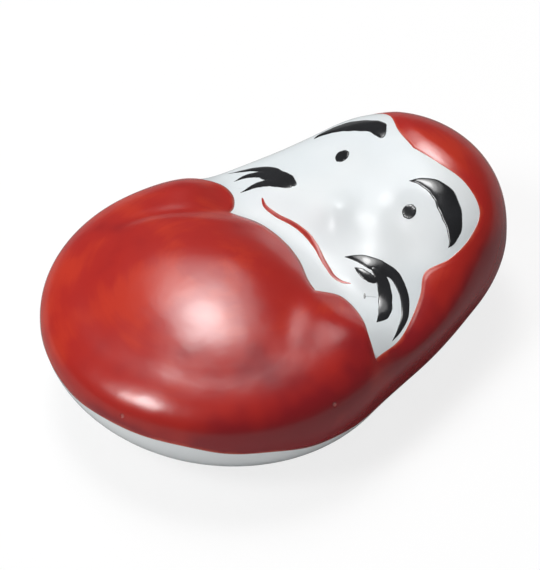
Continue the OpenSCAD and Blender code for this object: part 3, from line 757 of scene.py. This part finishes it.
def red_colour(t, place, pit, shader):
    """Iron red: crimson in random clouds where it pooled, and painted shade that deepens the crimson low on
    the right, away from the lamps, and makes the upper left lighter and oranger; orange where a stroke ran
    dry, thin and pale at its rims."""
    brushed = use(t, BRUSHED, Place=place, Fineness=STREAK_SCALE)
    where = t.node("SeparateXYZ", {0: place}).outputs
    # Painted shade: crimson grows towards the low right, away from the lamps, and the upper left turns
    # lighter
    shaded_low_right = t.math("SUBTRACT", where["X"], t.math("MULTIPLY", where["Z"], SHADE_SLOPE))
    cloud = t.math("ADD", brushed["Cloud"], t.remap(shaded_low_right, *SHADE_RANGE, *SHADE_SHIFT))
    streak = t.math("ADD", t.math("MULTIPLY", brushed["Streak"], STREAK_SHARE),
                    t.math("MULTIPLY", cloud, 1 - STREAK_SHARE))
    red = t.colours(t.remap(cloud, *POOLED_AND_SHADED_RANGE), RED_BRIGHT, RED_POOLED_AND_SHADED)
    red = t.colours(t.remap(streak, *DRY_RANGE), red, RED_DRY)
    edge = t.attribute("from_edge")
    for width, share, colour in ((RIM_WIDTH, RIM_SHARE, RED_RIM), (LIP_WIDTH, LIP_SHARE, RED_LIP)):
        thin = use(t, FILM, Place=place, From_edge=edge, Width=width)["Thin"]
        red = t.colours(t.math("MULTIPLY", thin, share), red, colour)
    t.link(t.remap(brushed["Streak"], *STREAK_ROUGH_RANGE, *RED_ROUGH), shader.inputs["Roughness"])
    return t.colours(t.math("MULTIPLY", pit, RED_PIT_SHARE), red, RED_PIT)


def black_colour(t, place, pit, shader):
    """Black enamel, grey where the brush left little and where its end ran dry; the grey wisps of the right
    inner hair are painted highlight.
    """
    cloud = t.noise(place, BRUSH_SCALE, detail=3)
    black = t.colours(cloud, BLACK_DEEP, BLACK_THIN)
    # Painted highlight: where the right inner hair's covering is low, this grey stands for a reflection
    dry = use(t, DRY_AND_SHEEN, Cover=t.attribute("cover"), Noise=cloud, **BLACK_DRY_AND_SHEEN_MIX)["Dry"]
    return t.colours(dry, black, BLACK_DRY_AND_SHEEN)


def mouth_colour(t, place, pit, shader):
    """Thin brown-red line, lighter and orange along its sides and at its dry ends."""
    cloud = t.remap(t.noise(place, LINE_SCALE, detail=3), *PATCH_RANGE)
    line = t.colours(cloud, MOUTH_DEEP, MOUTH_BRIGHT)
    line = t.colours(t.remap(t.attribute("sides"), *MOUTH_SIDE_RANGE, 0, MOUTH_SIDE_SHARE), line, MOUTH_SIDE)
    dry = use(t, DRY_AND_SHEEN, Cover=t.attribute("cover"), Noise=cloud, **MOUTH_DRYING)["Dry"]
    return t.colours(dry, line, MOUTH_DRY)


# Camera: turned to the right of the belly and looking down, as in the photograph
VIEW_AZIMUTH = math.radians(51.15)
VIEW_ELEVATION = math.radians(44.0)
VIEW_DISTANCE = 450 * MM
TARGET = np.array([0, 0, 8 * MM])
PIXELS_PER_MM = 10.2
FRAME_PIXELS = 570
SENSOR = 36.0
SHIFT_PIXELS = 11.6
CLIP_START = 10 * MM

# Room and floor: how bright the room is, the floor's half size, its tone, how much it glows to the
# camera, and how it shows in the gloss
ROOM_LIGHT = 0.08
FLOOR_HALF, FLOOR_TONE, FLOOR_GLOW, FLOOR_IN_GLOSS = 1.5, 0.9, 0.8, 0.25

# Lamps: name, direction from the object, width and height in metres, and radiance
LAMP_DISTANCE = 1.0
LAMPS = (
    ("key_softbox", (-0.4, 0.24, 0.88), (0.8, 0.9), 1.8),
    ("key_box_middle", (-0.33, 0.12, 0.93), (0.52, 0.6), 3.7),
    ("key_lamp", (-0.29, 0.08, 0.95), (0.28, 0.3), 9),
    ("front_lamp", (-0.12, -0.66, 0.74), (0.28, 0.36), 16),
    ("front_softbox", (-0.16, -0.62, 0.77), (0.6, 0.6), 1.1),
)


def placed(right, up, back, place):
    """Matrix of an object at a place, with its own axes along three directions."""
    rows = np.column_stack([right, up, back, place])
    return Matrix([*rows.tolist(), (0, 0, 0, 1)])


def add_camera():
    """A long lens at the solved direction, with the small shift that frames the object."""
    a, e = VIEW_AZIMUTH, VIEW_ELEVATION
    back = np.array([math.sin(a) * math.cos(e), -math.cos(a) * math.cos(e), math.sin(e)])
    right = np.array([math.cos(a), math.sin(a), 0])
    up = np.cross(back, right)
    data = bpy.data.cameras.new("camera")
    data.sensor_width = SENSOR
    data.lens = PIXELS_PER_MM * (VIEW_DISTANCE / MM) * SENSOR / FRAME_PIXELS
    data.shift_x = -SHIFT_PIXELS / FRAME_PIXELS
    data.clip_start = CLIP_START
    camera = bpy.data.objects.new("camera", data)
    place = TARGET + VIEW_DISTANCE * back
    camera.matrix_world = placed(right, up, back, place)
    bpy.context.scene.collection.objects.link(camera)
    bpy.context.scene.camera = camera


def add_lamp(name, direction, size, radiance):
    """An elliptic soft box that faces the object from a direction. It gives off pi watts for each
    square metre of it and each unit of radiance."""
    data = bpy.data.lights.new(name, "AREA")
    data.shape = "ELLIPSE"
    data.size, data.size_y = size
    area = size[0] * size[1] * math.pi / 4
    data.energy = math.pi * area * radiance
    lamp = bpy.data.objects.new(name, data)
    d = np.array(direction, float) / np.linalg.norm(direction)
    side = np.cross([0, 0, 1], d)
    side = side / np.linalg.norm(side)
    lamp.matrix_world = placed(side, np.cross(d, side), d, TARGET + d * LAMP_DISTANCE)
    bpy.context.scene.collection.objects.link(lamp)


def add_stage():
    """White floor: plain to the camera, with the object's soft shadow kept, and grey in its reflections."""
    mesh = bpy.data.meshes.new("floor")
    corners = [(x * FLOOR_HALF, y * FLOOR_HALF, 0) for x, y in ((-1, -1), (1, -1), (1, 1), (-1, 1))]
    mesh.from_pydata(corners, [], [(0, 1, 2, 3)])
    floor = bpy.data.objects.new("floor", mesh)
    bpy.context.scene.collection.objects.link(floor)
    material = bpy.data.materials.new("white_floor")
    material.use_nodes = True
    material.node_tree.nodes.clear()
    t = Tree(material.node_tree)
    path = t.node("LightPath").outputs
    tone = t.remap(path["Is Glossy Ray"], 0, 1, FLOOR_TONE, FLOOR_IN_GLOSS)
    matt = t.node("BsdfDiffuse", {"Color": tone}).outputs[0]
    glow = t.node("Emission").outputs[0]
    shown = t.math("MULTIPLY", path["Is Camera Ray"], FLOOR_GLOW)
    out = t.node("OutputMaterial")
    t.link(t.node("MixShader", {0: shown, 1: matt, 2: glow}).outputs[0], out.inputs["Surface"])
    mesh.materials.append(material)


def add_world():
    """Dim surroundings, white to the camera."""
    world = bpy.data.worlds.new("studio")
    bpy.context.scene.world = world
    world.use_nodes = True
    t = Tree(world.node_tree)
    strength = t.remap(t.node("LightPath").outputs["Is Camera Ray"], 0, 1, ROOM_LIGHT, 1.0)
    background = world.node_tree.nodes["Background"]
    t.link(strength, background.inputs["Strength"])
    background.inputs["Color"].default_value = (1, 1, 1, 1)


add_camera()
porcelain = glazed("bluish_white_porcelain", None, porcelain_colour, GLAZE_IOR,
                   Waves=0.5, Peel=0.02, Pinholes=0.3)
red = glazed("brushed_iron_red_enamel", None, red_colour, ENAMEL_IOR, Waves=0.6, Peel=0.06, Pinholes=0.6)
black = glazed("glossy_black_enamel", BLACK_ROUGH, black_colour, ENAMEL_IOR,
               Waves=0.2, Peel=0.05, Pinholes=0.0)
mouth = glazed("thin_brown_red_enamel", MOUTH_ROUGH, mouth_colour, THIN_ENAMEL_IOR,
               Waves=0.2, Peel=0.05, Pinholes=0.0)
EDGE, TURN, HOODED = columns()
porcelain_body(EDGE, TURN, HOODED, porcelain)
red_coat(EDGE, TURN, HOODED, red)
stroke("left_brow_stroke", [LEFT_BROW], BROW_W, black, "black_enamel", "left_brow",
       BROW_T, BLUNT_END, BROW_SLANT, seed=1)
stroke("right_brow_stroke", [RIGHT_BROW], BROW_W, black, "black_enamel", "right_brow", BROW_T, seed=2)
for side, hairs, slant, seed in (("left", LEFT_HAIRS, HAIR_SLANT, 3), ("right", RIGHT_HAIRS, 0.0, 7)):
    for k, (place, paths) in enumerate(hairs.items()):
        stroke(f"{side}_{place}_hair_stroke", paths, HAIR_W, black, "black_enamel", f"{side}_{place}_hair",
               slant=slant, seed=seed + k)
for sign, side in ((-1, "left"), (1, "right")):
    dot = EYE_D / (2 * FACE_HALF[0])
    path = [(sign * EYE[0] + s * dot, EYE[1], 1) for s in (-1, 1)]
    stroke(f"{side}_eye_dot", [path], EYE_D, black, "black_enamel", f"{side}_eye",
           BROW_T, ROUND_END, seed=9)
stroke("mouth_brush_line", [MOUTH], MOUTH_W, mouth, "mouth_enamel", "mouth_line", steps=MOUTH_STEPS)
for lamp in LAMPS:
    add_lamp(*lamp)
add_stage()
add_world()

bpy.context.scene.view_settings.view_transform = "Standard"
